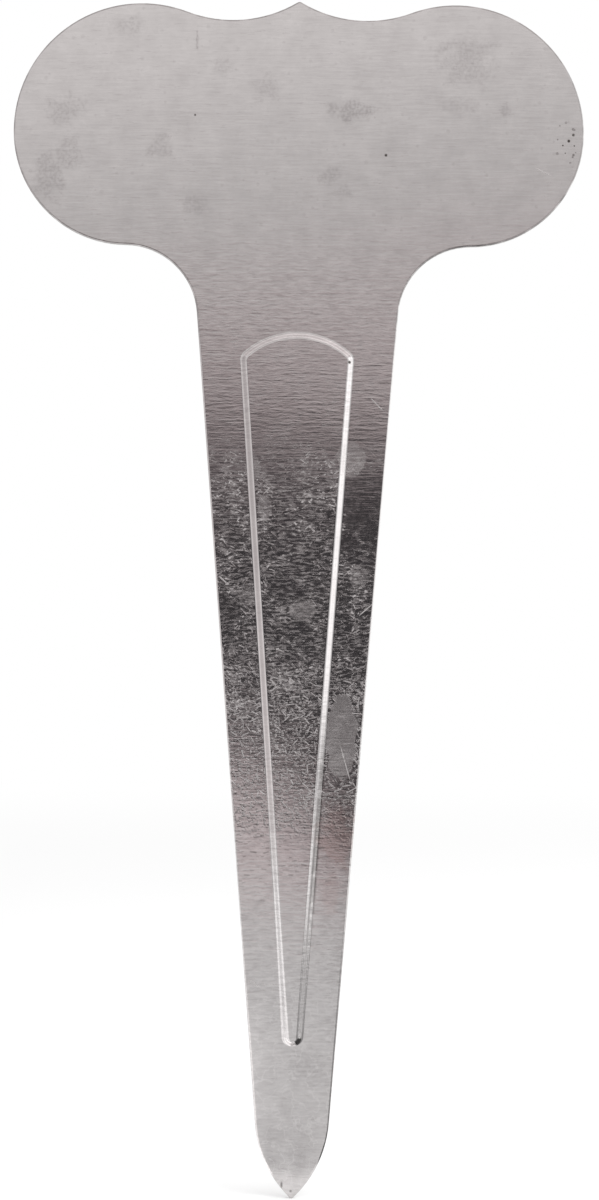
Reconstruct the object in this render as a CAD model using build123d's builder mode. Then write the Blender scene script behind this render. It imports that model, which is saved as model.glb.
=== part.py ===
from build123d import *
import os
from math import radians, sqrt, tan

# Plant label stake: one blank of sheet metal with a lobed writing head and a tapered blade with a point.
# A long panel is pressed out of the blade towards the front and leaves a hollow of its own shape behind.
# The origin is the point, in the middle of the sheet. +Z runs up to the head, and -Y is the front.

# Sheet
SHEET_THICKNESS = 0.6
EDGE_ROLL_RADIUS = 0.2  # front edge of the blank, drawn round by the shearing
INNER_BEND_RADIUS = 0.2  # pressed bends, on the side that they close
OUTER_BEND_RADIUS = 0.45  # pressed bends, on the side that they stretch

# Head
STAKE_LENGTH = 150.0  # from the point to the peak between the lobes
HEAD_WIDTH = 71.5
LOBE_DROP = 16.4  # from the peak down to the level where the lobes are widest
UPPER_LOBE_RADIUS = 16.1
LOWER_LOBE_RADIUS = 14.2
DIP_RADIUS = 16.0  # hollow curve between the peak and a lobe
PEAK_RADIUS = 0.5
NECK_RADIUS = 9.1  # hollow curve between a lobe and the blade

# Blade
BLADE_WIDTH = 25.1
BLADE_DROP = 40.0  # from the peak down to the level at which that width is taken
POINT_LENGTH = 9.4
POINT_WIDTH = 9.3  # width of the blade where the point begins
TIP_RADIUS = 0.4

# Pressed panel, measured on its flat top before the bends are rounded
PANEL_RISE = 0.6
PANEL_WALL_ANGLE = 45.0  # between the wall and the sheet
PANEL_BOTTOM = 19.6  # height of the nose above the point
PANEL_NOSE_RADIUS = 0.65
PANEL_WIDTH = 13.0  # across the two upper corners
PANEL_DROP = 44.7  # from the peak down to these corners
PANEL_ARCH_RISE = 2.6
PANEL_CORNER_RADIUS = 0.8


def towards(start, end, distance):
    """The point at that distance from start on the way to end."""
    return start + (end - start).normalized() * distance


# The right half of the outline is a chain of tangent arcs between these points (across, up) on the sheet.
lobe_end = Vector(HEAD_WIDTH / 2, STAKE_LENGTH - LOBE_DROP)
upper_center = lobe_end - Vector(UPPER_LOBE_RADIUS, 0)
lower_center = lobe_end - Vector(LOWER_LOBE_RADIUS, 0)

# The dip touches the rounded peak on one side and the top of the lobe on the other, from above.
peak_center = Vector(0, STAKE_LENGTH - PEAK_RADIUS)
dip_to_peak = DIP_RADIUS + PEAK_RADIUS
dip_to_lobe = DIP_RADIUS + UPPER_LOBE_RADIUS
peak_to_lobe = (upper_center - peak_center).length
dip_along = (dip_to_peak**2 - dip_to_lobe**2 + peak_to_lobe**2) / (2 * peak_to_lobe)
dip_aside = sqrt(dip_to_peak**2 - dip_along**2)
lobe_way = (upper_center - peak_center).normalized()
dip_center = peak_center + lobe_way * dip_along + Vector(-lobe_way.Y, lobe_way.X) * dip_aside
dip_start = towards(peak_center, dip_center, PEAK_RADIUS)
dip_end = towards(dip_center, upper_center, DIP_RADIUS)

# The neck touches the underside of the lobe and the straight edge of the blade.
edge_top = Vector(BLADE_WIDTH / 2, STAKE_LENGTH - BLADE_DROP)
point_start = Vector(POINT_WIDTH / 2, POINT_LENGTH)
edge_down = (point_start - edge_top).normalized()
edge_out = Vector(-edge_down.Y, edge_down.X)
neck_beside_top = edge_top + edge_out * NECK_RADIUS
from_lobe = neck_beside_top - lower_center
neck_reach = sqrt((LOWER_LOBE_RADIUS + NECK_RADIUS) ** 2 - from_lobe.dot(edge_out) ** 2)
neck_center = neck_beside_top + edge_down * (neck_reach - from_lobe.dot(edge_down))
neck_start = towards(lower_center, neck_center, LOWER_LOBE_RADIUS)
neck_end = neck_center - edge_out * NECK_RADIUS

# The long arc of the point leaves the straight edge and runs into the small round of the tip.
tip_center = Vector(0, TIP_RADIUS)
from_tip = point_start - tip_center
point_radius = (from_tip.length**2 - TIP_RADIUS**2) / (2 * (from_tip.dot(edge_out) - TIP_RADIUS))
tip_start = towards(point_start - edge_out * point_radius, tip_center, point_radius)

# The levels of the sheet's faces on and off the panel, and what keeps its thickness through the bends.
front_plane = Plane.XZ.offset(SHEET_THICKNESS / 2)
back_plane = Plane.XZ.offset(-SHEET_THICKNESS / 2)
panel_plane = front_plane.offset(PANEL_RISE)
hollow_plane = back_plane.offset(PANEL_RISE)
wall_draft = 90 - PANEL_WALL_ANGLE
hollow_inset = SHEET_THICKNESS * tan(radians(PANEL_WALL_ANGLE / 2))

# The panel's straight side runs from its upper corner to where it touches the round of the nose.
panel_corner = Vector(PANEL_WIDTH / 2, STAKE_LENGTH - PANEL_DROP)
nose_center = Vector(0, PANEL_BOTTOM + PANEL_NOSE_RADIUS)
nose_to_corner = panel_corner - nose_center
nose_way = nose_to_corner.normalized()
touch_along = PANEL_NOSE_RADIUS**2 / nose_to_corner.length
touch_aside = sqrt(PANEL_NOSE_RADIUS**2 - touch_along**2)
nose_end = nose_center + nose_way * touch_along + Vector(nose_way.Y, -nose_way.X) * touch_aside

with BuildSketch(panel_plane) as panel_outline:
    with BuildLine():
        nose = TangentArc((0, PANEL_BOTTOM), nose_end, tangent=(1, 0))
        Line(nose @ 1, panel_corner)
        mirror(about=Plane.YZ)
        left_corner = (-panel_corner.X, panel_corner.Y)
        ThreePointArc(panel_corner, (0, panel_corner.Y + PANEL_ARCH_RISE), left_corner)
    make_face()
    fillet(panel_outline.vertices().group_by(Axis.Y)[-1], PANEL_CORNER_RADIUS)

with BuildPart() as label_stake:
    # Flat blank, with its front edge drawn round
    with BuildSketch(back_plane):
        with BuildLine():
            peak = TangentArc((0, STAKE_LENGTH), dip_start, tangent=(1, 0))
            dip = TangentArc(peak @ 1, dip_end, tangent=peak % 1)
            lobe_top = TangentArc(dip @ 1, lobe_end, tangent=dip % 1)
            lobe_bottom = TangentArc(lobe_top @ 1, neck_start, tangent=lobe_top % 1)
            neck = TangentArc(lobe_bottom @ 1, neck_end, tangent=lobe_bottom % 1)
            edge = Line(neck @ 1, point_start)
            point = TangentArc(edge @ 1, tip_start, tangent=edge % 1)
            TangentArc(point @ 1, (0, 0), tangent=point % 1)
            mirror(about=Plane.YZ)
        make_face()
    extrude(amount=SHEET_THICKNESS)
    fillet(label_stake.faces().sort_by(Axis.Y)[0].edges(), EDGE_ROLL_RADIUS)

    # Panel raised on the front, bent outwards at its top and inwards at the foot of its wall
    extrude(panel_outline.sketch, amount=-PANEL_RISE)
    panel_wall = label_stake.faces(Select.LAST).filter_by(Plane.XZ, reverse=True)
    draft(panel_wall, panel_plane, wall_draft)
    panel_top = label_stake.faces().sort_by(Axis.Y)[0]
    fillet(panel_top.edges(), OUTER_BEND_RADIUS)
    front_face = label_stake.faces().filter_by(Plane.XZ).sort_by(Axis.Y)[1]
    fillet(front_face.inner_wires().edges(), INNER_BEND_RADIUS)

    # Hollow of the panel in the back, with the other side of the same bends
    with BuildSketch(hollow_plane):
        offset(panel_outline.sketch_local, amount=-hollow_inset)
    extrude(amount=-PANEL_RISE, mode=Mode.SUBTRACT)
    hollow_wall = label_stake.faces(Select.LAST).filter_by(Plane.XZ, reverse=True)
    draft(hollow_wall, hollow_plane, -wall_draft)
    back_face = label_stake.faces().sort_by(Axis.Y)[-1]
    fillet(back_face.inner_wires().edges(), OUTER_BEND_RADIUS)
    backward_planes = label_stake.faces().filter_by(Plane.XZ).filter_by(lambda face: face.normal_at().Y > 0)
    hollow_floor = backward_planes.sort_by(Axis.Y)[0]
    fillet(hollow_floor.edges(), INNER_BEND_RADIUS)

label_stake.part.label = "label_stake"
os.makedirs("parts", exist_ok=True)
export_step(label_stake.part, "parts/label_stake.step")
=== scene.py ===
# Plant label stake: one pressed blank of bare rolled sheet metal, its finish, and a plain studio round it.
# Lengths are in metres. The point is at the origin, +Z runs up to the head, and -Y is the front.
import bmesh
import bpy
from math import atan2, ceil, cos, pi, radians, sin, sqrt, tan
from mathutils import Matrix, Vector, kdtree
from mathutils.geometry import delaunay_2d_cdt


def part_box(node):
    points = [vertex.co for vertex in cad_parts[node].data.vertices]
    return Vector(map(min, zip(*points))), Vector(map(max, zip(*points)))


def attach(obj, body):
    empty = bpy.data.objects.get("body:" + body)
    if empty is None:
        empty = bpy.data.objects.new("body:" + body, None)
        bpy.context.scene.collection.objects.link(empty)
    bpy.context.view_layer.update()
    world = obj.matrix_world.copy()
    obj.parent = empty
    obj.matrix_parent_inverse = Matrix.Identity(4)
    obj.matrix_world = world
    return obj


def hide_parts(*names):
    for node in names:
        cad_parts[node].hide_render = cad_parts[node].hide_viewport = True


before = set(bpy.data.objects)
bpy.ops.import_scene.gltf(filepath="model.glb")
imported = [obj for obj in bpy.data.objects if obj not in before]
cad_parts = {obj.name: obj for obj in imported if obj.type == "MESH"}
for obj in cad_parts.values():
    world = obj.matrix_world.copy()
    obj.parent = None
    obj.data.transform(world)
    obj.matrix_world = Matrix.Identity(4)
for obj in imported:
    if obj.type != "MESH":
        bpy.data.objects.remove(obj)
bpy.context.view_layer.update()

MM = 0.001
MICROMETRE = 1e-6

# The frame gives the outer sizes, and the level of the sheet's two faces and of the panel's top.
stake_low, stake_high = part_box("label_stake")
STAKE_LENGTH = stake_high.z - stake_low.z
HEAD_WIDTH = stake_high.x - stake_low.x
SHEET_THICKNESS = 2 * stake_high.y
PANEL_RISE = stake_high.y - stake_low.y - SHEET_THICKNESS

# Sheet
EDGE_ROLL_RADIUS = 0.2 * MM
INNER_BEND_RADIUS = 0.2 * MM
OUTER_BEND_RADIUS = 0.45 * MM
SHEET_WAVE_HEIGHT = 0.05 * MM  # unevenness of the flat sheet
SHEET_WAVE_LENGTH = 30.0 * MM
SHEET_WAVE_SEED = 3.0

# Head
LOBE_DROP = 16.4 * MM
UPPER_LOBE_RADIUS = 16.1 * MM
LOWER_LOBE_RADIUS = 14.2 * MM
DIP_RADIUS = 16.0 * MM
PEAK_RADIUS = 0.5 * MM
NECK_RADIUS = 9.1 * MM

# Blade
BLADE_WIDTH = 25.1 * MM
BLADE_DROP = 40.0 * MM
POINT_LENGTH = 9.4 * MM
POINT_WIDTH = 9.3 * MM
TIP_RADIUS = 0.4 * MM

# Pressed panel, measured on its flat top before the bends are rounded
PANEL_WALL_ANGLE = radians(45)
PANEL_BOTTOM = 19.6 * MM
PANEL_NOSE_RADIUS = 0.65 * MM
PANEL_WIDTH = 13.0 * MM
PANEL_DROP = 44.7 * MM
PANEL_ARCH_RISE = 2.6 * MM
PANEL_CORNER_RADIUS = 0.8 * MM

# The pressed wall's S, as distances inside the panel's outline, and how far the hollow's S lies further in
TANGENT_SHARE = tan(PANEL_WALL_ANGLE / 2)  # a bend's tangent as a share of its radius
WALL_START = -PANEL_RISE / tan(PANEL_WALL_ANGLE) - INNER_BEND_RADIUS * TANGENT_SHARE
WALL_END = OUTER_BEND_RADIUS * TANGENT_SHARE
HOLLOW_SHIFT = (SHEET_THICKNESS - OUTER_BEND_RADIUS + INNER_BEND_RADIUS) * TANGENT_SHARE

# Spacing of the mesh
EDGE_STEP = 0.9 * MM
ARC_TURN = radians(9)
FLAT_STEP = 1.8 * MM
FLAT_ROW_STEP = FLAT_STEP * sin(radians(60))
FLAT_CLEARANCE = 0.6 * FLAT_STEP  # of the points on a flat from the rings round it
ROLL_RINGS = 6
WALL_RINGS = 20
GUARD_STEP = 0.08 * MM  # from the last ring of a bend to one more that keeps the flat beside it flat
INSIDE_RINGS = 1  # what the triangulation keeps
SAME_POINT = 1e-9
MERGE_DISTANCE = 0.002 * MM
SHARP_ANGLE = radians(50)


# Flat blank
def turn_of(way):
    """The angle of a direction on the sheet."""
    return atan2(way.y, way.x)


def arc(center, radius, start, end, hollow=False):
    """(point, outward direction) pairs along an arc. The outside of a hollow arc is towards its center."""
    turn = abs(end - start)
    steps = max(ceil(turn / ARC_TURN), ceil(turn * radius / EDGE_STEP))
    pairs = []
    for step in range(steps + 1):
        angle = start + (end - start) * step / steps
        way = Vector((cos(angle), sin(angle)))
        pairs.append((center + way * radius, -way if hollow else way))
    return pairs


def straight(start, end, outward):
    """(point, outward direction) pairs along a straight run."""
    steps = ceil((end - start).length / EDGE_STEP)
    return [(start.lerp(end, step / steps), outward) for step in range(steps + 1)]


def closed_outline(*stretches):
    """A whole outline, from the stretches of its right half, which starts and ends on the middle line."""
    right = stretches[0]
    for stretch in stretches[1:]:
        right = right + stretch[1:]
    left = [(Vector((-point.x, point.y)), Vector((-way.x, way.y))) for point, way in right[-2:0:-1]]
    return right + left


def blank_outline():
    """The sheared edge: tangent arcs round the head and the neck, the straight blade and the point."""
    lobe_end = Vector((HEAD_WIDTH / 2, STAKE_LENGTH - LOBE_DROP))
    upper_center = lobe_end - Vector((UPPER_LOBE_RADIUS, 0))
    lower_center = lobe_end - Vector((LOWER_LOBE_RADIUS, 0))

    peak_center = Vector((0, STAKE_LENGTH - PEAK_RADIUS))
    dip_to_peak = DIP_RADIUS + PEAK_RADIUS
    dip_to_lobe = DIP_RADIUS + UPPER_LOBE_RADIUS
    peak_to_lobe = (upper_center - peak_center).length
    dip_along = (dip_to_peak**2 - dip_to_lobe**2 + peak_to_lobe**2) / (2 * peak_to_lobe)
    dip_aside = sqrt(dip_to_peak**2 - dip_along**2)
    lobe_way = (upper_center - peak_center).normalized()
    dip_center = peak_center + lobe_way * dip_along + Vector((-lobe_way.y, lobe_way.x)) * dip_aside

    edge_top = Vector((BLADE_WIDTH / 2, STAKE_LENGTH - BLADE_DROP))
    point_start = Vector((POINT_WIDTH / 2, POINT_LENGTH))
    edge_down = (point_start - edge_top).normalized()
    edge_out = Vector((-edge_down.y, edge_down.x))
    neck_beside_top = edge_top + edge_out * NECK_RADIUS
    from_lobe = neck_beside_top - lower_center
    neck_reach = sqrt((LOWER_LOBE_RADIUS + NECK_RADIUS) ** 2 - from_lobe.dot(edge_out) ** 2)
    neck_center = neck_beside_top + edge_down * (neck_reach - from_lobe.dot(edge_down))

    tip_center = Vector((0, TIP_RADIUS))
    from_tip = point_start - tip_center
    point_radius = (from_tip.length**2 - TIP_RADIUS**2) / (2 * (from_tip.dot(edge_out) - TIP_RADIUS))
    point_center = point_start - edge_out * point_radius

    peak_end = turn_of(dip_center - peak_center)
    dip_start = turn_of(peak_center - dip_center)
    dip_end = turn_of(upper_center - dip_center)
    lobe_start = turn_of(dip_center - upper_center)
    lobe_finish = turn_of(neck_center - lower_center)
    neck_start = turn_of(lower_center - neck_center)
    tip_start = turn_of(tip_center - point_center)
    return closed_outline(
        arc(peak_center, PEAK_RADIUS, pi / 2, peak_end),
        arc(dip_center, DIP_RADIUS, dip_start, dip_end, hollow=True),
        arc(upper_center, UPPER_LOBE_RADIUS, lobe_start, 0),
        arc(lower_center, LOWER_LOBE_RADIUS, 0, lobe_finish),
        arc(neck_center, NECK_RADIUS, neck_start, turn_of(-edge_out), hollow=True),
        straight(neck_center - edge_out * NECK_RADIUS, point_start, edge_out),
        arc(point_center, point_radius, turn_of(edge_out), tip_start),
        arc(tip_center, TIP_RADIUS, tip_start, -pi / 2),
    )


def panel_outline():
    """The panel's flat top before its bends are rounded: an arch, two rounded corners and a narrow nose."""
    corner = Vector((PANEL_WIDTH / 2, STAKE_LENGTH - PANEL_DROP))
    nose_center = Vector((0, PANEL_BOTTOM + PANEL_NOSE_RADIUS))
    nose_to_corner = corner - nose_center
    nose_way = nose_to_corner.normalized()
    touch_along = PANEL_NOSE_RADIUS**2 / nose_to_corner.length
    touch_aside = sqrt(PANEL_NOSE_RADIUS**2 - touch_along**2)
    side_out = (nose_way * touch_along + Vector((nose_way.y, -nose_way.x)) * touch_aside).normalized()
    side_end = nose_center + side_out * PANEL_NOSE_RADIUS
    side_down = (side_end - corner).normalized()

    arch_radius = (corner.x**2 + PANEL_ARCH_RISE**2) / (2 * PANEL_ARCH_RISE)
    arch_center = Vector((0, corner.y + PANEL_ARCH_RISE - arch_radius))
    beside_corner = corner - side_out * PANEL_CORNER_RADIUS
    from_arch = beside_corner - arch_center
    along = from_arch.dot(side_down)
    reach = sqrt(along**2 - from_arch.length_squared + (arch_radius - PANEL_CORNER_RADIUS) ** 2)
    round_center = beside_corner - side_down * (along + reach)

    arch_end = turn_of(round_center - arch_center)
    side_turn = turn_of(side_out)
    return closed_outline(
        arc(arch_center, arch_radius, pi / 2, arch_end),
        arc(round_center, PANEL_CORNER_RADIUS, arch_end, side_turn),
        straight(round_center + side_out * PANEL_CORNER_RADIUS, side_end, side_out),
        arc(nose_center, PANEL_NOSE_RADIUS, side_turn, -pi / 2),
    )


def inside(point, ring):
    """Whether a point of the sheet lies inside a closed ring of points."""
    odd = False
    for a, b in zip(ring, ring[1:] + ring[:1]):
        if (a.y > point.y) != (b.y > point.y):
            odd ^= point.x < a.x + (b.x - a.x) * (point.y - a.y) / (b.y - a.y)
    return odd


def nearest(points):
    """A search tree over points of the sheet."""
    tree = kdtree.KDTree(len(points))
    for number, point in enumerate(points):
        tree.insert((point.x, point.y, 0), number)
    tree.balance()
    return tree


def grid_points(border, hole):
    """Points of a staggered grid inside a ring and outside the ring of its hole, clear of both."""
    rings = nearest(border + hole)
    low_x = min(point.x for point in border)
    low_y = min(point.y for point in border)
    columns = ceil((max(point.x for point in border) - low_x) / FLAT_STEP)
    rows = ceil((max(point.y for point in border) - low_y) / FLAT_ROW_STEP)
    points = []
    for row in range(rows):
        stagger = 0.5 * (row % 2)
        for column in range(columns + 1):
            point = Vector((low_x + (column + stagger) * FLAT_STEP, low_y + row * FLAT_ROW_STEP))
            clear = rings.find((point.x, point.y, 0))[2] >= FLAT_CLEARANCE
            if clear and inside(point, border) and not inside(point, hole):
                points.append(point)
    return points


def ring_edges(first, count):
    """The edges of a closed ring of that many points, as numbers that begin at first."""
    return [(first + before % count, first + before + 1) for before in range(-1, count - 1)]


class Blank:
    """The flat blank as a mesh, with each point's distance inside the sheared edge and inside the panel."""

    def __init__(self):
        self.mesh = bmesh.new()
        self.edge_inset = self.mesh.verts.layers.float.new("edge_inset")
        self.panel_inset = self.mesh.verts.layers.float.new("panel_inset")
        self.edge = blank_outline()
        self.panel = panel_outline()
        self.edge_points = nearest([point for point, _ in self.edge])
        self.panel_points = nearest([point for point, _ in self.panel])

    def vertex(self, point, edge_inset, panel_inset):
        """A new vertex with its two distances."""
        made = self.mesh.verts.new((point.x, 0, point.y))
        made[self.edge_inset] = edge_inset
        made[self.panel_inset] = panel_inset
        return made

    def distances(self, point, on_panel):
        """A point's distances inside the sheared edge and inside the panel, negative outside the panel."""
        to_edge = self.edge_points.find((point.x, point.y, 0))[2]
        to_panel = self.panel_points.find((point.x, point.y, 0))[2]
        return to_edge, to_panel if on_panel else -to_panel

    def edge_ring(self, inset):
        """A ring of vertices at one distance inside the sheared edge."""
        ring = []
        for point, way in self.edge:
            place = point - way * inset
            ring.append(self.vertex(place, inset, self.distances(place, False)[1]))
        return ring

    def panel_ring(self, inset):
        """A ring of vertices at one distance inside the panel's outline."""
        ring = []
        for point, way in self.panel:
            place = point - way * inset
            ring.append(self.vertex(place, self.distances(place, False)[0], inset))
        return ring

    def bridge(self, rings):
        """Faces between each ring and the next one further in."""
        for outer, inner in zip(rings, rings[1:]):
            for here in range(len(outer)):
                before = here - 1
                self.mesh.faces.new((outer[before], inner[before], inner[here], outer[here]))

    def fill(self, border, hole, on_panel):
        """Triangles between a ring and the ring of its hole, if it has one."""
        vertices = border + hole
        flat = [Vector((vertex.co.x, vertex.co.z)) for vertex in vertices]
        for point in grid_points(flat[: len(border)], flat[len(border) :]):
            flat.append(point)
            vertices.append(self.vertex(point, *self.distances(point, on_panel)))
        edges = ring_edges(0, len(border)) + ring_edges(len(border), len(hole))
        _, _, faces, sources, _, _ = delaunay_2d_cdt(flat, edges, [], INSIDE_RINGS, SAME_POINT)
        in_hole = set(hole)
        for face in faces:
            corners = [vertices[sources[number][0]] for number in face]
            if not in_hole.issuperset(corners):
                self.mesh.faces.new(corners)


def flat_blank():
    """The blank before pressing, as an object, with fine rings where it will be rolled and bent."""
    blank = Blank()
    roll_turns = [pi / 2 * ring / ROLL_RINGS for ring in range(ROLL_RINGS + 1)]
    edge_insets = [EDGE_ROLL_RADIUS * (1 - cos(turn)) for turn in roll_turns]
    edge_insets.append(EDGE_ROLL_RADIUS + GUARD_STEP)
    wall_reach = WALL_END + HOLLOW_SHIFT - WALL_START
    panel_insets = [WALL_START + wall_reach * ring / WALL_RINGS for ring in range(WALL_RINGS + 1)]
    panel_insets = [WALL_START - GUARD_STEP] + panel_insets + [panel_insets[-1] + GUARD_STEP]
    edge_rings = [blank.edge_ring(inset) for inset in edge_insets]
    panel_rings = [blank.panel_ring(inset) for inset in panel_insets]
    blank.bridge(edge_rings)
    blank.bridge(panel_rings)
    blank.fill(edge_rings[-1], panel_rings[0], False)
    blank.fill(panel_rings[-1], [], True)
    data = bpy.data.meshes.new("flat_blank")
    blank.mesh.to_mesh(data)
    blank.mesh.free()
    made = bpy.data.objects.new("flat_blank", data)
    bpy.context.scene.collection.objects.link(made)
    return made


# Nodes
NUMBER = "NodeSocketFloat"
VECTOR = "NodeSocketVector"
GEOMETRY = "NodeSocketGeometry"
MATERIAL = "NodeSocketMaterial"
MIX_COLORS = slice(6, 8)  # the two colors of a Mix node among its inputs, and the color among its outputs
MIX_RESULT = 2


def new_tree(name, kind, inputs, outputs):
    """A node tree with named sockets; returns it with the sockets inside it."""
    tree = bpy.data.node_groups.new(name, kind)
    for title, socket_kind, value in inputs:
        socket = tree.interface.new_socket(title, in_out="INPUT", socket_type=socket_kind)
        if value is not None:
            socket.default_value = value
    for title, socket_kind in outputs:
        tree.interface.new_socket(title, in_out="OUTPUT", socket_type=socket_kind)
    return tree, tree.nodes.new("NodeGroupInput").outputs, tree.nodes.new("NodeGroupOutput").inputs


def put(tree, kind, inputs=None, **settings):
    """A new node with settings, and inputs by name or number: a socket is linked, a value is set."""
    node = tree.nodes.new(kind)
    for name, value in settings.items():
        setattr(node, name, value)
    for name, value in (inputs or {}).items():
        if isinstance(value, bpy.types.NodeSocket):
            tree.links.new(value, node.inputs[name])
        else:
            node.inputs[name].default_value = value
    return node


def calc(tree, operation, *values, clamp=False):
    """The result of a math node."""
    inputs = dict(enumerate(values))
    return put(tree, "ShaderNodeMath", inputs, operation=operation, use_clamp=clamp).outputs[0]


def vector_calc(tree, operation, *values, **inputs):
    """The resulting vector of a vector math node."""
    inputs = dict(enumerate(values)) | inputs
    return put(tree, "ShaderNodeVectorMath", inputs, operation=operation).outputs["Vector"]


def joined(tree, operation, values):
    """Some values joined by one math operation."""
    result = values[0]
    for value in values[1:]:
        result = calc(tree, operation, result, value)
    return result


def product(tree, *values):
    """Some values multiplied."""
    return joined(tree, "MULTIPLY", values)


def largest(tree, *values):
    """The largest of some values."""
    return joined(tree, "MAXIMUM", values)


def opposite(tree, mask):
    """What a mask leaves free."""
    return calc(tree, "SUBTRACT", 1.0, mask)


def weighted(tree, base, *amounts):
    """A base value plus each mask times its amount."""
    result = base
    for mask, amount in amounts:
        result = calc(tree, "MULTIPLY_ADD", mask, amount, result)
    return result


def ramp(tree, value, start, end, low=0.0, high=1.0):
    """The value's smooth way from low at start to high at end."""
    inputs = {"Value": value, "From Min": start, "From Max": end, "To Min": low, "To Max": high}
    return put(tree, "ShaderNodeMapRange", inputs, interpolation_type="SMOOTHSTEP").outputs["Result"]


def between(tree, value, start, end):
    """A mask that comes in along one ramp and goes out along the other."""
    return product(tree, ramp(tree, value, *start), ramp(tree, value, *end))


def noise(tree, place, scale, detail=2.0, roughness=0.5):
    """Plain noise on the sheet, from 0 to 1."""
    inputs = {"Vector": place, "Scale": scale, "Detail": detail, "Roughness": roughness}
    return put(tree, "ShaderNodeTexNoise", inputs, noise_dimensions="2D").outputs[0]


def blend_color(tree, share, first, second):
    """The color that goes from the first to the second as the share goes from 0 to 1."""
    node = put(tree, "ShaderNodeMix", {"Factor": share}, data_type="RGBA")
    for socket, color in zip(node.inputs[MIX_COLORS], (first, second)):
        if isinstance(color, bpy.types.NodeSocket):
            tree.links.new(color, socket)
        else:
            socket.default_value = color
    return node.outputs[MIX_RESULT]


# Pressing
def press_tree():
    """Presses the flat blank: panel, rolled front edge, wave of the sheet, thickness and sheared edge."""
    inputs = [
        ("Geometry", GEOMETRY, None),
        ("Sheet Thickness", NUMBER, SHEET_THICKNESS),
        ("Panel Rise", NUMBER, PANEL_RISE),
        ("Wall Start", NUMBER, WALL_START),
        ("Wall End", NUMBER, WALL_END),
        ("Hollow Shift", NUMBER, HOLLOW_SHIFT),
        ("Edge Roll", NUMBER, EDGE_ROLL_RADIUS),
        ("Wave Height", NUMBER, SHEET_WAVE_HEIGHT),
        ("Wave Length", NUMBER, SHEET_WAVE_LENGTH),
        ("Seed", NUMBER, SHEET_WAVE_SEED),
        ("Sheet", MATERIAL, None),
        ("Sheared Edge", MATERIAL, None),
    ]
    tree, given, result = new_tree("press_sheet", "GeometryNodeTree", inputs, [("Geometry", GEOMETRY)])

    def distance(name):
        """One of the blank's two distances."""
        return put(tree, "GeometryNodeInputNamedAttribute", {"Name": name}).outputs["Attribute"]

    def pressed(inset):
        """How far the S of the wall is pressed at a distance inside the panel."""
        return ramp(tree, inset, given["Wall Start"], given["Wall End"], 0.0, given["Panel Rise"])

    def moved(level):
        """The flat blank at a level from front to back."""
        offset = put(tree, "ShaderNodeCombineXYZ", {"Y": level}).outputs[0]
        move_inputs = {"Geometry": given["Geometry"], "Offset": offset}
        return put(tree, "GeometryNodeSetPosition", move_inputs).outputs[0]

    place = put(tree, "GeometryNodeInputPosition").outputs["Position"]
    wave_scale = calc(tree, "DIVIDE", 1.0, given["Wave Length"])
    wave_inputs = {"Vector": place, "W": given["Seed"], "Scale": wave_scale, "Detail": 1.0}
    wave = put(tree, "ShaderNodeTexNoise", wave_inputs, noise_dimensions="4D").outputs[0]
    wave = product(tree, calc(tree, "SUBTRACT", wave, 0.5), given["Wave Height"])

    panel_inset = distance("panel_inset")
    rise = pressed(panel_inset)
    hollow = pressed(calc(tree, "SUBTRACT", panel_inset, given["Hollow Shift"]))

    # Quarter round: at the edge the front lies one roll radius lower, and at that radius inside it is flat.
    roll_share = calc(tree, "DIVIDE", distance("edge_inset"), given["Edge Roll"], clamp=True)
    short_of_flat = opposite(tree, roll_share)
    upright = calc(tree, "SQRT", opposite(tree, product(tree, short_of_flat, short_of_flat)))
    drop = product(tree, given["Edge Roll"], opposite(tree, upright))

    half = product(tree, given["Sheet Thickness"], 0.5)
    front_level = calc(tree, "ADD", calc(tree, "SUBTRACT", drop, half), calc(tree, "SUBTRACT", wave, rise))
    back_level = calc(tree, "ADD", half, calc(tree, "SUBTRACT", wave, hollow))
    front = moved(front_level)
    back = put(tree, "GeometryNodeFlipFaces", {"Mesh": moved(back_level)}).outputs[0]

    # The sheared edge joins the rim of the front, whose edges have one face beside them, to the back's.
    faces_beside = put(tree, "GeometryNodeInputMeshEdgeNeighbors").outputs["Face Count"]
    rim = calc(tree, "LESS_THAN", faces_beside, 2.0)
    backwards = put(tree, "ShaderNodeCombineXYZ", {"Y": 1.0}).outputs[0]
    depth = calc(tree, "SUBTRACT", given["Sheet Thickness"], given["Edge Roll"])
    walled_inputs = {"Mesh": front, "Selection": rim, "Offset": backwards, "Offset Scale": depth}
    walled = put(tree, "GeometryNodeExtrudeMesh", walled_inputs, mode="EDGES").outputs
    both = put(tree, "GeometryNodeJoinGeometry")
    tree.links.new(walled["Mesh"], both.inputs[0])
    tree.links.new(back, both.inputs[0])
    merge_inputs = {"Geometry": both.outputs[0], "Distance": MERGE_DISTANCE}
    closed = put(tree, "GeometryNodeMergeByDistance", merge_inputs).outputs[0]
    smooth = put(tree, "GeometryNodeSetShadeSmooth", {0: closed}).outputs[0]

    real = put(tree, "GeometryNodeRealizeInstances", {"Geometry": smooth}).outputs[0]
    sheet_inputs = {"Geometry": real, "Material": given["Sheet"]}
    sheet = put(tree, "GeometryNodeSetMaterial", sheet_inputs).outputs[0]
    edge_inputs = {"Geometry": sheet, "Selection": walled["Side"], "Material": given["Sheared Edge"]}
    edge = put(tree, "GeometryNodeSetMaterial", edge_inputs).outputs[0]
    tree.links.new(edge, result["Geometry"])
    return tree


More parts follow.
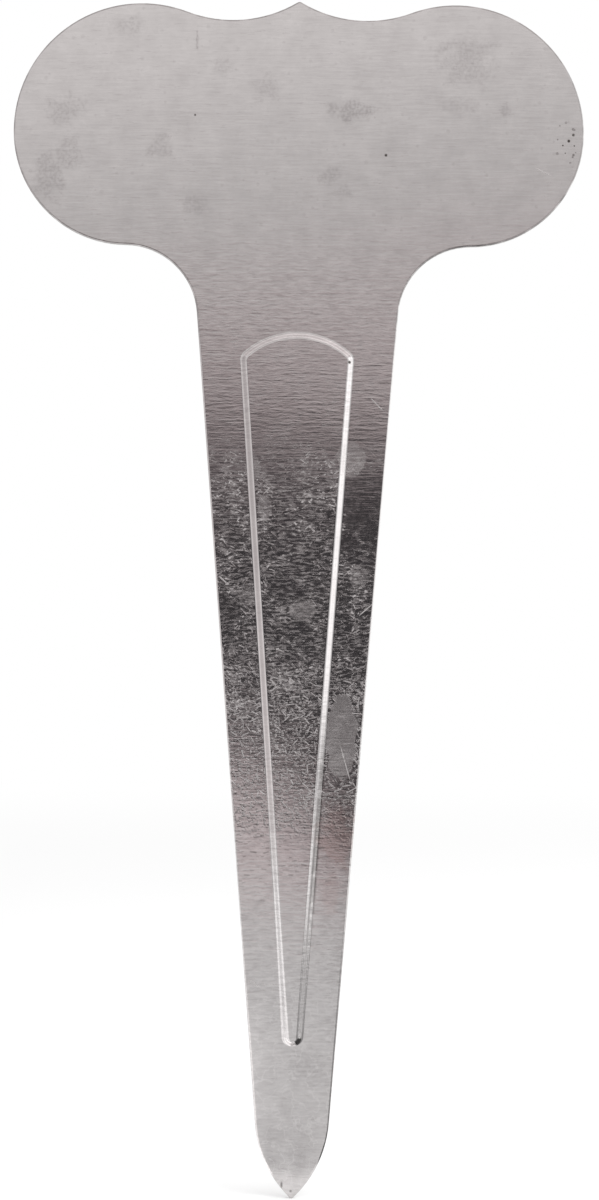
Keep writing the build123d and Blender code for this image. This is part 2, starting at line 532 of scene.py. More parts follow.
def pressed_stake(sheet_finish, edge_finish):
    """The finished stake as a plain mesh."""
    blank = flat_blank()
    tree = press_tree()
    modifier = blank.modifiers.new("press", "NODES")
    modifier.node_group = tree
    sockets = [item for item in tree.interface.items_tree if item.in_out == "INPUT"]
    identifiers = {socket.name: socket.identifier for socket in sockets}
    modifier[identifiers["Sheet"]] = sheet_finish
    modifier[identifiers["Sheared Edge"]] = edge_finish
    view_layer = bpy.context.evaluated_depsgraph_get()
    data = bpy.data.meshes.new_from_object(blank.evaluated_get(view_layer))
    bpy.data.objects.remove(blank)
    data.name = "pressed_stake"
    data.set_sharp_from_angle(angle=SHARP_ANGLE)
    made = bpy.data.objects.new("pressed_stake", data)
    bpy.context.scene.collection.objects.link(made)
    return made


# Finish. Places and sizes on the sheet are in millimetres, across from the middle and up from the point.
METAL_COLOR = (0.64, 0.615, 0.613, 1.0)
DULL_COLOR = (0.4, 0.378, 0.377, 1.0)
SPECK_COLOR = (0.09, 0.08, 0.075, 1.0)
STAIN_COLOR = (0.5, 0.37, 0.35, 1.0)
BACK_PATTERN_SHIFT = 0.3  # metres by which the back's pattern lies aside

# Heights between which a zone of marks comes in or goes out
LOWER_BLADE = (66.0, 53.0)
CALMER_POINT = (12.0, 34.0)
SHOULDER_START = (92.0, 98.0)
SHOULDER_END = (126.0, 112.0)
HEAD_START = (104.0, 112.0)
RUBBED_START = (43.0, 51.0)
RUBBED_END = (98.0, 88.0)
RUBBED_MOST = (72.0, 60.0)
DASHED_START = (34.0, 44.0)
DASHED_END = (60.0, 53.0)
WANDERING_START = (45.0, 15.0)

# Distances inside the panel and inside the sheared edge, in metres
# Painted shade along the foot of the pressed wall lies round this distance inside the panel, within this
# reach
FOOT_SHADE_MIDDLE = WALL_START + 0.12 * MM
FOOT_SHADE_REACH = (0.46 * MM, 0.2 * MM)
# Painted shade on the head's rolled edge reaches this far inside the sheared edge
RIM_SHADE_REACH = (0.28 * MM, 0.1 * MM)

# Each mark of these lists: across, up, width, height, strength
SMUDGES = [
    (20.9, 142.6, 7.5, 7.0, 0.55),
    (20.2, 137.0, 5.0, 3.0, 0.35),
    (6.6, 136.3, 7.0, 2.8, 0.85),
    (25.9, 136.5, 1.8, 1.8, 0.6),
    (4.0, 128.1, 3.5, 2.5, 0.5),
    (5.3, 126.0, 3.0, 1.5, 0.45),
    (-4.0, 138.9, 4.0, 4.0, 0.45),
    (-9.6, 141.5, 3.0, 2.4, 0.5),
    (-13.0, 124.3, 3.4, 2.8, 0.5),
    (-17.2, 131.5, 4.0, 3.4, 0.6),
    (-21.2, 146.8, 6.0, 2.5, 0.5),
    (-29.2, 136.3, 5.4, 4.2, 0.6),
    (-29.0, 130.8, 4.0, 5.0, 0.6),
    (-31.4, 128.0, 4.4, 6.0, 0.65),
    (-12.8, 145.3, 0.4, 3.2, 0.9),
    # These two, round the point, darken it: mottling, and partly painted shade for the darker floor that
    # the point reflects
    (1.5, 16.5, 8.0, 6.0, 0.4),
    (-0.5, 7.5, 6.0, 9.0, 0.35),
]
FILMS = [
    (5.85, 58.0, 3.5, 9.0, 1.0),
    (0.9, 73.6, 2.8, 2.4, 0.55),
    (7.9, 78.0, 2.0, 2.6, 0.35),
    (6.9, 92.6, 3.2, 3.8, 0.5),
    (-6.2, 75.6, 1.8, 2.8, 0.3),
    (-5.4, 91.5, 1.8, 2.6, 0.4),
    (-3.9, 86.5, 1.6, 2.6, 0.35),
]
CLEAN_PATCHES = [
    (8.6, 86.5, 7.0, 14.0, 1.0),
    (-8.0, 73.0, 3.0, 4.0, 0.3),
    (5.6, 53.4, 4.4, 2.8, 0.8),
]
SMOOTH_PATCHES = [
    (0.6, 76.0, 9.0, 17.0, 0.6),
]
STAINS = [
    (5.4, 45.5, 5.0, 9.0, 0.44),
    (4.6, 38.5, 3.0, 6.0, 0.25),
]
# Stretches where the painted shade along the wall's foot is strongest
FOOT_SHADE_STRETCHES = [
    (2.8, 47.0, 5.0, 28.0, 1.0),
]
PITTED_SPOTS = [
    (33.6, 132.6, 3.2, 6.0, 1.0),
]
SINGLE_SPECKS = [
    (10.95, 130.8, 0.42, 0.42, 1.0),
    (-13.0, 135.7, 0.3, 0.3, 0.9),
    (6.55, 104.8, 0.45, 0.45, 1.0),
    (-0.1, 0.9, 0.4, 0.4, 0.5),
    (-1.25, 1.7, 0.35, 0.9, 0.6),
]
LONG_SCRATCHES = [  # across, up, length, width, turn in degrees
    (30.7, 128.9, 2.6, 0.22, -25),
    (10.0, 99.6, 2.8, 0.18, -45),
    (8.8, 73.8, 2.7, 0.2, 41),
    (6.4, 54.5, 5.6, 0.16, -74),
    (7.2, 51.2, 1.7, 0.18, 29),
    (-4.8, 26.9, 1.7, 0.25, -37),
    (-2.9, 26.8, 2.6, 0.16, 0),
]

# Sheared edge
BREAK_REACH = 0.05 * MM  # to each side of the sheet's middle, between the rubbed band and the broken one
SHEAR_STREAKS = (6000, 700, 6000)  # streaks in a metre; they run from front to back
SHEAR_STREAK_DEPTH = 8 * MICROMETRE


def shader_group(name, numbers, output):
    """A group that reads the place on the sheet and some named numbers, and puts out one value."""
    inputs = [("Place", VECTOR, None)] + [(title, NUMBER, value) for title, value in numbers.items()]
    return new_tree(name, "ShaderNodeTree", inputs, [(output, NUMBER)])


def sheet_place_group():
    """The place on the sheet in millimetres, across and up. The back lies aside, with its own pattern."""
    inputs = [("Object", VECTOR, None)]
    tree, given, result = new_tree("sheet_place", "ShaderNodeTree", inputs, [("Place", VECTOR)])
    parts = put(tree, "ShaderNodeSeparateXYZ", {0: given["Object"]}).outputs
    behind = calc(tree, "GREATER_THAN", parts["Y"], 0.0)
    across = calc(tree, "MULTIPLY_ADD", behind, BACK_PATTERN_SHIFT, parts["X"])
    flat = put(tree, "ShaderNodeCombineXYZ", {"X": across, "Y": parts["Z"]}).outputs[0]
    tree.links.new(vector_calc(tree, "SCALE", flat, Scale=1 / MM), result["Place"])
    return tree


def rolled_lines_group():
    """Uneven lines across the stake, left by the rolls, from 0 to 1."""
    numbers = {"Pitch": 0.25, "Length": 8.0, "Wave": 0.0}
    tree, given, result = shader_group("rolled_lines", numbers, "Lines")
    parts = put(tree, "ShaderNodeSeparateXYZ", {0: given["Place"]}).outputs
    along = calc(tree, "DIVIDE", parts["X"], given["Length"])
    sway = calc(tree, "SUBTRACT", noise(tree, given["Place"], 0.4), 0.5)
    across = calc(tree, "MULTIPLY_ADD", sway, given["Wave"], parts["Y"])
    across = calc(tree, "DIVIDE", across, given["Pitch"])
    stretched = put(tree, "ShaderNodeCombineXYZ", {"X": along, "Y": across}).outputs[0]
    tree.links.new(noise(tree, stretched, 1.0, detail=3.0, roughness=0.6), result["Lines"])
    return tree


def uneven_cells(tree, place, spacing):
    """The cells of an uneven grid: the place counted in cells, the cell's outputs and its three chances."""
    cells = vector_calc(tree, "SCALE", place, Scale=calc(tree, "DIVIDE", 1.0, spacing))
    cell_inputs = {"Vector": cells, "Scale": 1.0}
    cell = put(tree, "ShaderNodeTexVoronoi", cell_inputs, voronoi_dimensions="2D").outputs
    return cells, cell, put(tree, "ShaderNodeSeparateColor", {0: cell["Color"]}).outputs


def soft_bar(tree, away, turn, reach, half_width, ends, sides):
    """A turned bar, as a mask that fades outside those shares of its reach and half width."""
    turned = put(tree, "ShaderNodeVectorRotate", {"Vector": away, "Angle": turn}, rotation_type="Z_AXIS")
    parts = put(tree, "ShaderNodeSeparateXYZ", {0: turned.outputs[0]}).outputs
    along = ramp(tree, calc(tree, "ABSOLUTE", parts["X"]), reach, product(tree, reach, ends))
    aside = ramp(tree, calc(tree, "ABSOLUTE", parts["Y"]), half_width, product(tree, half_width, sides))
    return product(tree, along, aside)


def scratches_group():
    """Short scratches, one in each cell of an uneven grid, as a mask."""
    numbers = {"Spacing": 2.0, "Length": 2.0, "Width": 0.1, "Turn": 0.0, "Spread": pi, "Share": 0.7}
    tree, given, result = shader_group("scratches", numbers, "Mask")
    bend_inputs = {"Vector": given["Place"], "Scale": 0.9, "Detail": 1.0}
    bend = put(tree, "ShaderNodeTexNoise", bend_inputs, noise_dimensions="2D").outputs["Color"]
    bend = vector_calc(tree, "SUBTRACT", bend, (0.5, 0.5, 0.5))
    place = vector_calc(tree, "MULTIPLY_ADD", bend, (0.05, 0.05, 0.0), given["Place"])
    cells, cell, chance = uneven_cells(tree, place, given["Spacing"])
    away = vector_calc(tree, "SUBTRACT", cells, cell["Position"])
    away = vector_calc(tree, "SCALE", away, Scale=given["Spacing"])
    off_middle = calc(tree, "SUBTRACT", chance[0], 0.5)
    turn = calc(tree, "MULTIPLY_ADD", off_middle, given["Spread"], given["Turn"])
    reach = product(tree, given["Length"], weighted(tree, 0.15, (chance[1], 0.35)))
    half_width = product(tree, given["Width"], weighted(tree, 0.3, (chance[1], 0.4)))
    bar = soft_bar(tree, away, turn, reach, half_width, ends=0.5, sides=0.3)
    there = calc(tree, "LESS_THAN", chance[2], given["Share"])
    depth = weighted(tree, 0.35, (calc(tree, "FRACT", product(tree, chance[2], 9.0)), 0.65))
    tree.links.new(product(tree, bar, there, depth), result["Mask"])
    return tree


def long_scratch_group():
    """One straight scratch at a place on the sheet, as a mask."""
    numbers = {"Across": 0.0, "Up": 0.0, "Length": 2.0, "Width": 0.2, "Turn": 0.0}
    tree, given, result = shader_group("long_scratch", numbers, "Mask")
    center = put(tree, "ShaderNodeCombineXYZ", {"X": given["Across"], "Y": given["Up"]}).outputs[0]
    away = vector_calc(tree, "SUBTRACT", given["Place"], center)
    back_turn = product(tree, given["Turn"], -1.0)
    reach = product(tree, given["Length"], 0.5)
    half_width = product(tree, given["Width"], 0.5)
    bar = soft_bar(tree, away, back_turn, reach, half_width, ends=0.4, sides=0.2)
    tree.links.new(bar, result["Mask"])
    return tree


def smudge_group():
    """One ragged smudge about a place on the sheet, as a mask."""
    numbers = {"Across": 0.0, "Up": 0.0, "Width": 5.0, "Height": 5.0, "Ragged": 1.0, "Core": 0.2}
    tree, given, result = shader_group("smudge", numbers, "Mask")
    center = put(tree, "ShaderNodeCombineXYZ", {"X": given["Across"], "Y": given["Up"]}).outputs[0]
    size_inputs = {"X": given["Width"], "Y": given["Height"], "Z": 1.0}
    size = put(tree, "ShaderNodeCombineXYZ", size_inputs).outputs[0]
    away = vector_calc(tree, "DIVIDE", vector_calc(tree, "SUBTRACT", given["Place"], center), size)
    reach = put(tree, "ShaderNodeVectorMath", {0: away}, operation="LENGTH").outputs["Value"]
    tear = calc(tree, "SUBTRACT", noise(tree, given["Place"], 0.55, detail=4.0, roughness=0.6), 0.5)
    reach = calc(tree, "MULTIPLY_ADD", tear, given["Ragged"], reach)
    tree.links.new(ramp(tree, reach, 0.6, given["Core"]), result["Mask"])
    return tree


def specks_group():
    """Round specks, one in each cell of an uneven grid, as a mask."""
    numbers = {"Spacing": 1.0, "Size": 0.2, "Share": 0.3}
    tree, given, result = shader_group("specks", numbers, "Mask")
    _, cell, chance = uneven_cells(tree, given["Place"], given["Spacing"])
    away = product(tree, cell["Distance"], given["Spacing"])
    reach = product(tree, given["Size"], weighted(tree, 0.3, (chance[1], 0.4)))
    inside_speck = ramp(tree, away, reach, product(tree, reach, 0.5))
    there = calc(tree, "LESS_THAN", chance[2], given["Share"])
    tree.links.new(product(tree, inside_speck, there), result["Mask"])
    return tree


def trails_group():
    """Thin winding marks along the levels of a noise, as a mask."""
    tree, given, result = shader_group("trails", {"Scale": 0.5, "Width": 0.03}, "Mask")
    level = noise(tree, given["Place"], given["Scale"])
    off_level = calc(tree, "ABSOLUTE", calc(tree, "SUBTRACT", level, 0.5))
    tree.links.new(ramp(tree, off_level, given["Width"], 0.0), result["Mask"])
    return tree


SHEET_PLACE = sheet_place_group()
ROLLED_LINES = rolled_lines_group()
SCRATCHES = scratches_group()
SMUDGE = smudge_group()
SPECKS = specks_group()
LONG_SCRATCH = long_scratch_group()
TRAILS = trails_group()


def new_metal(name):
    """A bare metal material; returns it with its tree, its Principled shader and the spot on the stake."""
    material = bpy.data.materials.new(name)
    material.use_nodes = True
    tree = material.node_tree
    shader = tree.nodes["Principled BSDF"]
    shader.inputs["Metallic"].default_value = 1.0
    return material, tree, shader, put(tree, "ShaderNodeTexCoord").outputs["Object"]


class BareSheet:
    """The finish of the bare rolled metal, built up from masks of its marks."""

    def __init__(self):
        self.material, self.tree, self.shader, spot = new_metal("bare_sheet")
        self.place = put(self.tree, "ShaderNodeGroup", {"Object": spot}, node_tree=SHEET_PLACE).outputs[0]
        self.up = put(self.tree, "ShaderNodeSeparateXYZ", {0: self.place}).outputs["Y"]
        self.edge_inset = self.distance("edge_inset")
        self.panel_inset = self.distance("panel_inset")
        self.add_rolled_lines()
        self.add_films()
        self.add_flecks()
        self.add_scratches()
        self.add_soil_and_shade()
        self.link_color()
        self.link_roughness()
        self.link_bump()

    def distance(self, name):
        """One of the stake's two distances, inside the sheared edge or inside the panel."""
        return put(self.tree, "ShaderNodeAttribute", attribute_name=name).outputs["Fac"]

    def mask(self, group, **numbers):
        """The mask of a shared group, with its numbers by name."""
        inputs = {"Place": self.place}
        for name, value in numbers.items():
            inputs[name.title()] = value
        return put(self.tree, "ShaderNodeGroup", inputs, node_tree=group).outputs[0]

    def scratches(self, turn, spread, **numbers):
        """Short scratches at a turn in degrees, within a spread about it."""
        return self.mask(SCRATCHES, turn=radians(turn), spread=radians(spread), **numbers)

    def smudges(self, marks, **numbers):
        """All smudges of a list as one mask."""
        masks = []
        for across, up, width, height, strength in marks:
            smudge = self.mask(SMUDGE, across=across, up=up, width=width, height=height, **numbers)
            masks.append(product(self.tree, smudge, strength))
        return largest(self.tree, *masks)

    def long_scratches(self):
        """All long scratches as one mask."""
        masks = []
        for across, up, length, width, turn in LONG_SCRATCHES:
            sizes = {"across": across, "up": up, "length": length, "width": width}
            masks.append(self.mask(LONG_SCRATCH, turn=radians(turn), **sizes))
        return largest(self.tree, *masks)

    def add_rolled_lines(self):
        """Lines and grain of the rolled metal. The shoulder and the lower blade are more rippled."""
        tree = self.tree
        self.low = ramp(tree, self.up, *LOWER_BLADE)
        self.shoulder = between(tree, self.up, SHOULDER_START, SHOULDER_END)
        self.streaks = self.mask(ROLLED_LINES, pitch=0.32, length=3.2)
        self.bands = self.mask(ROLLED_LINES, pitch=1.1, length=26.0)
        self.ripples = self.mask(ROLLED_LINES, pitch=0.31, length=1.7, wave=0.45)
        self.rippled = product(tree, self.low, ramp(tree, self.up, *CALMER_POINT, 0.5, 1.0))
        grain = ramp(tree, self.mask(ROLLED_LINES, pitch=0.3, length=0.75), 0.4, 0.7)
        self.grain = product(tree, grain, weighted(tree, 1.0, (self.low, -0.7)))

    def add_films(self):
        """Dull films and clean patches, which have few scratches."""
        tree = self.tree
        self.films = self.smudges(FILMS, ragged=0.38, core=0.52)
        self.film_rims = product(tree, self.films, opposite(tree, self.films))
        clean = self.smudges(CLEAN_PATCHES, ragged=0.8)
        self.bare = opposite(tree, largest(tree, product(tree, self.films, 0.95), clean))

    def add_flecks(self):
        """The rubbed middle of the blade, with its flecks and dull lines. The pressed wall stays smooth."""
        tree = self.tree
        above_foot = ramp(tree, self.panel_inset, WALL_START - GUARD_STEP, WALL_START)
        below_top = ramp(tree, self.panel_inset, WALL_END + GUARD_STEP, WALL_END)
        self.flat = opposite(tree, product(tree, above_foot, below_top))
        handled = product(tree, between(tree, self.up, RUBBED_START, RUBBED_END), self.bare, self.flat)
        dull_lines = ramp(tree, self.mask(ROLLED_LINES, pitch=0.25, length=1.2, wave=0.6), 0.45, 0.6)
        self.dull_lines = product(tree, dull_lines, handled, opposite(tree, self.low))

        self.rubbed = product(tree, handled, opposite(tree, self.smudges(SMOOTH_PATCHES, ragged=0.7)))
        self.rubbed_most = product(tree, self.rubbed, ramp(tree, self.up, *RUBBED_MOST))
        self.worn = ramp(tree, noise(tree, self.place, 0.3, detail=3.0, roughness=0.6), 0.4, 0.66)
        fine_lines = self.mask(ROLLED_LINES, pitch=0.22, length=0.42)
        closeness = weighted(tree, fine_lines, (self.worn, 0.08), (self.rubbed_most, 0.045))
        flecks = ramp(tree, closeness, 0.69, 0.79)
        self.flecks = product(tree, flecks, weighted(tree, 0.08, (self.rubbed, 0.92)))

    def add_scratches(self):
        """Scratches, which lie close together in the rubbed middle of the blade."""
        tree = self.tree
        gathered = product(tree, self.rubbed, weighted(tree, 0.4, (self.worn, 0.6)))
        curled = ramp(tree, noise(tree, self.place, 1.3), 0.52, 0.64)
        curls = product(tree, self.mask(TRAILS, scale=0.75, width=0.035), curled, gathered, 0.25)
        strokes = self.scratches(10, 130, spacing=1.25, length=1.7, width=0.14, share=0.65)
        strokes = product(tree, strokes, weighted(tree, 0.04, (gathered, 0.8)))
        nicks = self.scratches(0, 120, spacing=0.6, length=0.6, width=0.2, share=0.45)
        nicks = product(tree, nicks, gathered)
        hairlines = self.scratches(30, 160, spacing=0.9, length=2.0, width=0.13, share=0.8)
        hairlines = product(tree, hairlines, self.rubbed_most)
        glints = product(tree, self.mask(SPECKS, spacing=0.42, size=0.3, share=0.55), self.rubbed_most)
        scored = largest(tree, strokes, nicks, hairlines)
        self.dents = largest(tree, scored, glints)

        self.dashes = self.scratches(0, 14, spacing=1.1, length=1.6, width=0.16, share=0.55)
        self.long_marks = self.long_scratches()
        faint_dashes = product(tree, self.dashes, 0.3)
        self.scratched = largest(tree, self.flecks, curls, scored, faint_dashes, self.long_marks)

        dark_dashes = self.scratches(0, 36, spacing=0.7, length=1.2, width=0.24, share=0.6)
        dashed = between(tree, self.up, DASHED_START, DASHED_END)
        self.dark_dashes = product(tree, dark_dashes, dashed, self.flat)
        wandering = ramp(tree, self.up, *WANDERING_START, 0.15, 1.0)
        self.wandering = product(tree, self.mask(TRAILS, scale=0.45, width=0.03), wandering)

    def add_soil_and_shade(self):
        """Smudges, scuffs and specks, mostly on the head, painted shade on the head's rolled edge, and
        painted shade along the wall's foot.
        """
        tree = self.tree
        self.cloud = noise(tree, self.place, 0.3, detail=5.0, roughness=0.6)
        self.haze = ramp(tree, self.cloud, 0.45, 0.8)
        crumbs = ramp(tree, noise(tree, self.place, 2.6, detail=4.0), 0.35, 0.65, 0.5, 1.3)
        self.smudged = product(tree, self.smudges(SMUDGES, ragged=1.1), crumbs)
        on_head = ramp(tree, self.up, *HEAD_START)
        scuffs = self.mask(SPECKS, spacing=1.3, size=0.5, share=0.4)
        self.scuffs = product(tree, scuffs, on_head, self.worn)
        # Painted shade on the head's rolled edge, patchy
        rim = product(tree, ramp(tree, self.edge_inset, *RIM_SHADE_REACH), on_head)
        self.rim_shade = product(tree, rim, ramp(tree, noise(tree, self.place, 0.5), 0.3, 0.6, 0.15, 0.5))
        pits = self.mask(SPECKS, spacing=0.8, size=0.36, share=0.75)
        pits = product(tree, pits, self.smudges(PITTED_SPOTS, ragged=0.5))
        self.speckled = largest(tree, pits, self.smudges(SINGLE_SPECKS, ragged=0.0))

        # Painted shade along the foot of the pressed wall, patchy, strongest in the listed stretches
        from_foot_shade = calc(tree, "ABSOLUTE", calc(tree, "SUBTRACT", self.panel_inset, FOOT_SHADE_MIDDLE))
        patchy = ramp(tree, noise(tree, self.place, 0.7), 0.22, 0.5)
        stretch_shade = product(tree, self.smudges(FOOT_SHADE_STRETCHES, ragged=0.3), patchy)
        foot_shade = ramp(tree, from_foot_shade, *FOOT_SHADE_REACH)
        self.foot_shade = product(tree, foot_shade, weighted(tree, 0.02, (stretch_shade, 0.48)))

    def link_color(self):
        """Bright metal that the marks make duller, then stains, dark dashes, specks, and the painted shade
        on the head's rim and along the wall's foot.
        """
        tree = self.tree
        tone = weighted(
            tree,
            0.3,
            (self.streaks, 0.3),
            (self.cloud, 0.6),
            (self.rippled, weighted(tree, -0.8, (self.ripples, 1.6))),
            (self.shoulder, weighted(tree, -0.7, (self.ripples, 1.4))),
            (self.smudged, -0.5),
            (self.scuffs, -0.2),
            (self.dashes, -0.12),
            (self.wandering, 0.3),
            (self.long_marks, 0.6),
        )
        tone = calc(tree, "ADD", tone, 0.0, clamp=True)
        # Specks darken the colour, and so do the painted shade on the head's rim and the painted shade
        # along the wall's foot
        dark = largest(tree, self.speckled, self.foot_shade, self.rim_shade)
        color = blend_color(tree, tone, DULL_COLOR, METAL_COLOR)
        color = blend_color(tree, self.smudges(STAINS, ragged=0.9), color, STAIN_COLOR)
        color = blend_color(tree, product(tree, self.dark_dashes, 0.5), color, SPECK_COLOR)
        color = blend_color(tree, dark, color, SPECK_COLOR)
        tree.links.new(color, self.shader.inputs["Base Color"])

    def link_roughness(self):
        """Smooth metal that the marks roughen."""
        roughness = weighted(
            self.tree,
            0.07,
            (self.streaks, 0.04),
            (self.grain, weighted(self.tree, 0.03, (self.worn, 0.05))),
            (self.haze, 0.03),
            (self.films, 0.135),
            (self.film_rims, 0.16),
            (self.dull_lines, 0.13),
            (self.scratched, 0.4),
            (self.speckled, 0.3),
        )
        self.tree.links.new(roughness, self.shader.inputs["Roughness"])

    def link_bump(self):
        """Lines, dents and pits, in micrometres."""
        tree = self.tree
        height = weighted(
            tree,
            0.0,
            (self.streaks, weighted(tree, 5.0, (self.low, -2.0))),
            (self.bands, 6.0),
            (self.ripples, weighted(tree, 1.2, (self.rippled, 4.0), (self.shoulder, 7.0))),
            (self.dents, -9.0),
            (self.speckled, -6.0),
        )
        bump = put(tree, "ShaderNodeBump", {"Height": height, "Distance": MICROMETRE})
        tree.links.new(bump.outputs[0], self.shader.inputs["Normal"])


def sheared_edge():
    """The cut edge: a bright band that the shear rubbed, and a grainy band where the metal broke."""
    material, tree, shader, spot = new_metal("sheared_edge")
    depth = put(tree, "ShaderNodeSeparateXYZ", {0: spot}).outputs["Y"]
    broken = ramp(tree, depth, -BREAK_REACH, BREAK_REACH)
    streak_place = put(tree, "ShaderNodeMapping", {"Vector": spot, "Scale": SHEAR_STREAKS}).outputs[0]
    streak_inputs = {"Vector": streak_place, "Scale": 1.0, "Detail": 3.0}
    streaks = put(tree, "ShaderNodeTexNoise", streak_inputs).outputs[0]
    color = blend_color(tree, product(tree, broken, streaks), METAL_COLOR, DULL_COLOR)
    tree.links.new(color, shader.inputs["Base Color"])
    roughness = weighted(tree, 0.22, (broken, 0.25), (streaks, 0.15))
    tree.links.new(roughness, shader.inputs["Roughness"])
    bump = put(tree, "ShaderNodeBump", {"Height": streaks, "Distance": SHEAR_STREAK_DEPTH})
    tree.links.new(bump.outputs[0], shader.inputs["Normal"])
    return material


stake = pressed_stake(BareSheet().material, sheared_edge())
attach(stake, "root")
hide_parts("label_stake")

# Picture: the plane of the sheet fills this height of it, round this point.
PICTURE_HEIGHT = 150.4 * MM
PICTURE_CENTER = Vector((0.5 * MM, -SHEET_THICKNESS / 2, 75.0 * MM))
PICTURE_ROLL = radians(-0.4)
CAMERA_DISTANCE = 360 * MM
SENSOR_SIZE = 36.0

# Studio
WHITE = (1.0, 1.0, 1.0, 1.0)
PINKISH = (1.0, 0.955, 0.955, 1.0)
FLOOR_REACH = 4.0
FLOOR_COLOR = (0.95, 0.95, 0.95, 1.0)
FLOOR_FADE = (0.15, 0.8)  # distances from the stake between which the floor goes over into plain white
ROOM_LIGHT = 0.77
WALL_CARD_SIZE = (0.6, 0.3)
WALL_CARD_AWAY = 0.3
SOFT_EDGE_SHARE = 0.16  # soft edge of a level card as a share of its smaller side, and at most this
SOFT_EDGE_MOST = 12 * MM

# Graded card. Heights are in millimetres above the floor.
CARD_WIDTH = 0.66
CARD_HEIGHT = 0.4
CARD_BEHIND_CAMERA = 5 * MM
CARD_TILT = 0.3  # fall of the grades to the right in the middle of the card
CARD_TILT_STEPS = [  # heights from which and to which it changes, and by how much
    (44.0, 4.0, 2.0),
    (60.0, 98.0, -0.55),
    (102.0, 122.0, 0.4),
    (130.0, 160.0, -0.3),
]
CARD_CLEAR = (40.0, 300.0)  # millimetres to the side at which the grades begin to fade and are gone
BAND_END = (26.0, 32.0)  # heights between which the lower grades go over into the dark band
BAND_END_TILT = 0.65  # fall of that to the right, and how it grows with each millimetre
BAND_END_BEND = 0.012
LOWER_GRADES = [  # height, color
    (-40.0, (0.82, 0.76, 0.76)),
    (-10.0, (0.8, 0.715, 0.72)),
    (0.0, (0.78, 0.69, 0.695)),
    (10.0, (0.75, 0.665, 0.67)),
    (20.0, (0.71, 0.625, 0.63)),
    (28.0, (0.64, 0.56, 0.565)),
    (36.0, (0.5, 0.425, 0.43)),
    (44.0, (0.38, 0.32, 0.325)),
    (60.0, (0.25, 0.21, 0.215)),
]
UPPER_GRADES = [  # height, color
    (40.0, (0.056, 0.053, 0.056)),
    (98.0, (0.056, 0.053, 0.056)),
    (104.0, (0.08, 0.072, 0.076)),
    (110.0, (0.128, 0.112, 0.117)),
    (113.0, (0.17, 0.148, 0.153)),
    (120.0, (0.48, 0.414, 0.42)),
    (124.0, (0.512, 0.447, 0.45)),
    (132.0, (0.6, 0.53, 0.532)),
    (142.0, (0.648, 0.588, 0.588)),
    (153.0, (0.694, 0.652, 0.652)),
    (158.0, (0.708, 0.674, 0.674)),
    (170.0, (0.719, 0.709, 0.704)),
    (189.0, (0.798, 0.784, 0.779)),
    (212.0, (0.92, 0.9, 0.895)),
    (240.0, (1.0, 0.985, 0.977)),
]


def background_rays(tree):
    """1 for rays that show the background: from the camera, off metal and through glass."""
    path = put(tree, "ShaderNodeLightPath").outputs
    return largest(tree, path["Is Camera Ray"], path["Is Glossy Ray"], path["Is Transmission Ray"])


def flat_panel(name, size, place, turn):
    """A thin flat rectangle of the studio."""
    across = size[0] / 2
    up = size[1] / 2
    data = bpy.data.meshes.new(name)
    corners = [(-across, -up, 0), (across, -up, 0), (across, up, 0), (-across, up, 0)]
    data.from_pydata(corners, [], [(0, 1, 2, 3)])
    made = bpy.data.objects.new(name, data)
    made.location = place
    made.rotation_euler = turn
    bpy.context.scene.collection.objects.link(made)
    return made


def studio_floor():
    """A pale floor that takes the stake's shadow and goes over into plain white farther off."""
    material = bpy.data.materials.new("pale_floor")
    material.use_nodes = True
    tree = material.node_tree
    tree.nodes.clear()
    diffuse = put(tree, "ShaderNodeBsdfDiffuse", {"Color": FLOOR_COLOR})
    white = put(tree, "ShaderNodeEmission", {"Color": WHITE, "Strength": 1.0})
    place = put(tree, "ShaderNodeTexCoord").outputs["Object"]
    away = put(tree, "ShaderNodeVectorMath", {0: place}, operation="LENGTH").outputs["Value"]
    share = product(tree, ramp(tree, away, *FLOOR_FADE), background_rays(tree))
    mixed = put(tree, "ShaderNodeMixShader", {0: share, 1: diffuse.outputs[0], 2: white.outputs[0]})
    put(tree, "ShaderNodeOutputMaterial", {"Surface": mixed.outputs[0]})
    floor = flat_panel("floor", (FLOOR_REACH * 2, FLOOR_REACH * 2), (0, 0, 0), (0, 0, 0))
    floor.data.materials.append(material)


def studio_world():
    """A white room, which lights the stake at a plain level."""
    world = bpy.data.worlds.new("white_room")
    bpy.context.scene.world = world
    world.use_nodes = True
    tree = world.node_tree
    tree.nodes.clear()
    strength_inputs = {"Value": background_rays(tree), "To Min": ROOM_LIGHT, "To Max": 1.0}
    strength = put(tree, "ShaderNodeMapRange", strength_inputs).outputs["Result"]
    background = put(tree, "ShaderNodeBackground", {"Color": WHITE, "Strength": strength})
    put(tree, "ShaderNodeOutputWorld", {"Surface": background.outputs[0]})


def soft_light(name, size, place, aim, radiance):
    """A soft rectangular light of that radiance, aimed at a point."""
    width, height = size
    data = bpy.data.lights.new(name, "AREA")
    data.shape = "RECTANGLE"
    data.size = width
    data.size_y = height
    data.energy = radiance * pi * width * height
    made = bpy.data.objects.new(name, data)
    made.location = place
    made.rotation_euler = (Vector(aim) - Vector(place)).to_track_quat("-Z", "Y").to_euler()
    made.visible_camera = False
    made.visible_glossy = False
    bpy.context.scene.collection.objects.link(made)


def reflected_card(name, size, place, turn):
    """A card that only the metal sees; returns its tree, its glow and its material's surface socket."""
    material = bpy.data.materials.new(name)
    material.use_nodes = True
    tree = material.node_tree
    tree.nodes.clear()
    glow = put(tree, "ShaderNodeEmission")
    output = put(tree, "ShaderNodeOutputMaterial", {"Surface": glow.outputs[0]})
    card = flat_panel(name, size, place, turn)
    card.data.materials.append(material)
    card.visible_camera = False
    card.visible_diffuse = False
    card.visible_shadow = False
    return tree, glow, output.inputs["Surface"]


